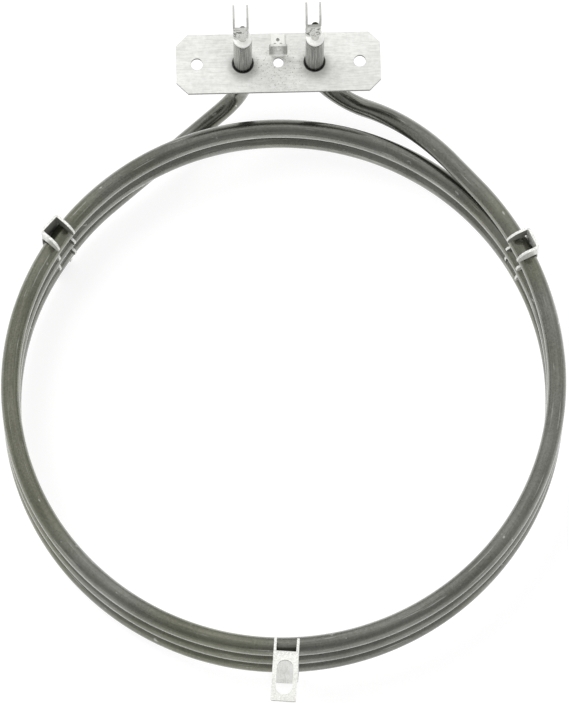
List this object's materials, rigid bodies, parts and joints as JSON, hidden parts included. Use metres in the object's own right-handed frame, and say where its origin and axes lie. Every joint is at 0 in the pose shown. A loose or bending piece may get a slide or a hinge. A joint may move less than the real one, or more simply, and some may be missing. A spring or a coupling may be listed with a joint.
{
  "type": "tubular heating element",
  "caption": "Round fan-oven heating element: a sheathed tube wound into a coil, with a flange plate, forked tab terminals, an earth tab, spacer combs and a slotted fixing ear.",
  "frame": {"origin": "middle of the footprint, on the surface that the lowest spacer comb stands on", "axes": "+Z along the coil's axis, towards the terminals; +Y from the coil's axis to the flange plate; +X to the right when the part is seen from the terminals' side with the plate at the top"},
  "size_m": [0.1938, 0.2388, 0.0959],
  "materials": {
    "sheath_steel": "dark oxidised stainless steel, matt",
    "magnesia": "compacted white powder",
    "resistance_wire": "drawn resistance alloy",
    "plate_steel": "bright galvanised, lightly scratched",
    "comb_steel": "cold-rolled stainless sheet",
    "tab_steel": "bright plated sheet",
    "seal_ceramic": "white, smooth",
    "pin_steel": "drawn steel, dull"
  },
  "bodies": {
    "root": {"earth_tab": "tab_steel", "flange_plate": "plate_steel", "left_cold_pin": "pin_steel", "left_comb": "comb_steel", "left_end_seal": "seal_ceramic", "left_fork_terminal": "tab_steel", "lower_comb": "comb_steel", "magnesia_packing": "magnesia", "resistance_coil": "resistance_wire", "right_cold_pin": "pin_steel", "right_comb": "comb_steel", "right_end_seal": "seal_ceramic", "right_fork_terminal": "tab_steel", "tube_sheath": "sheath_steel"}
  },
  "joints": []
}
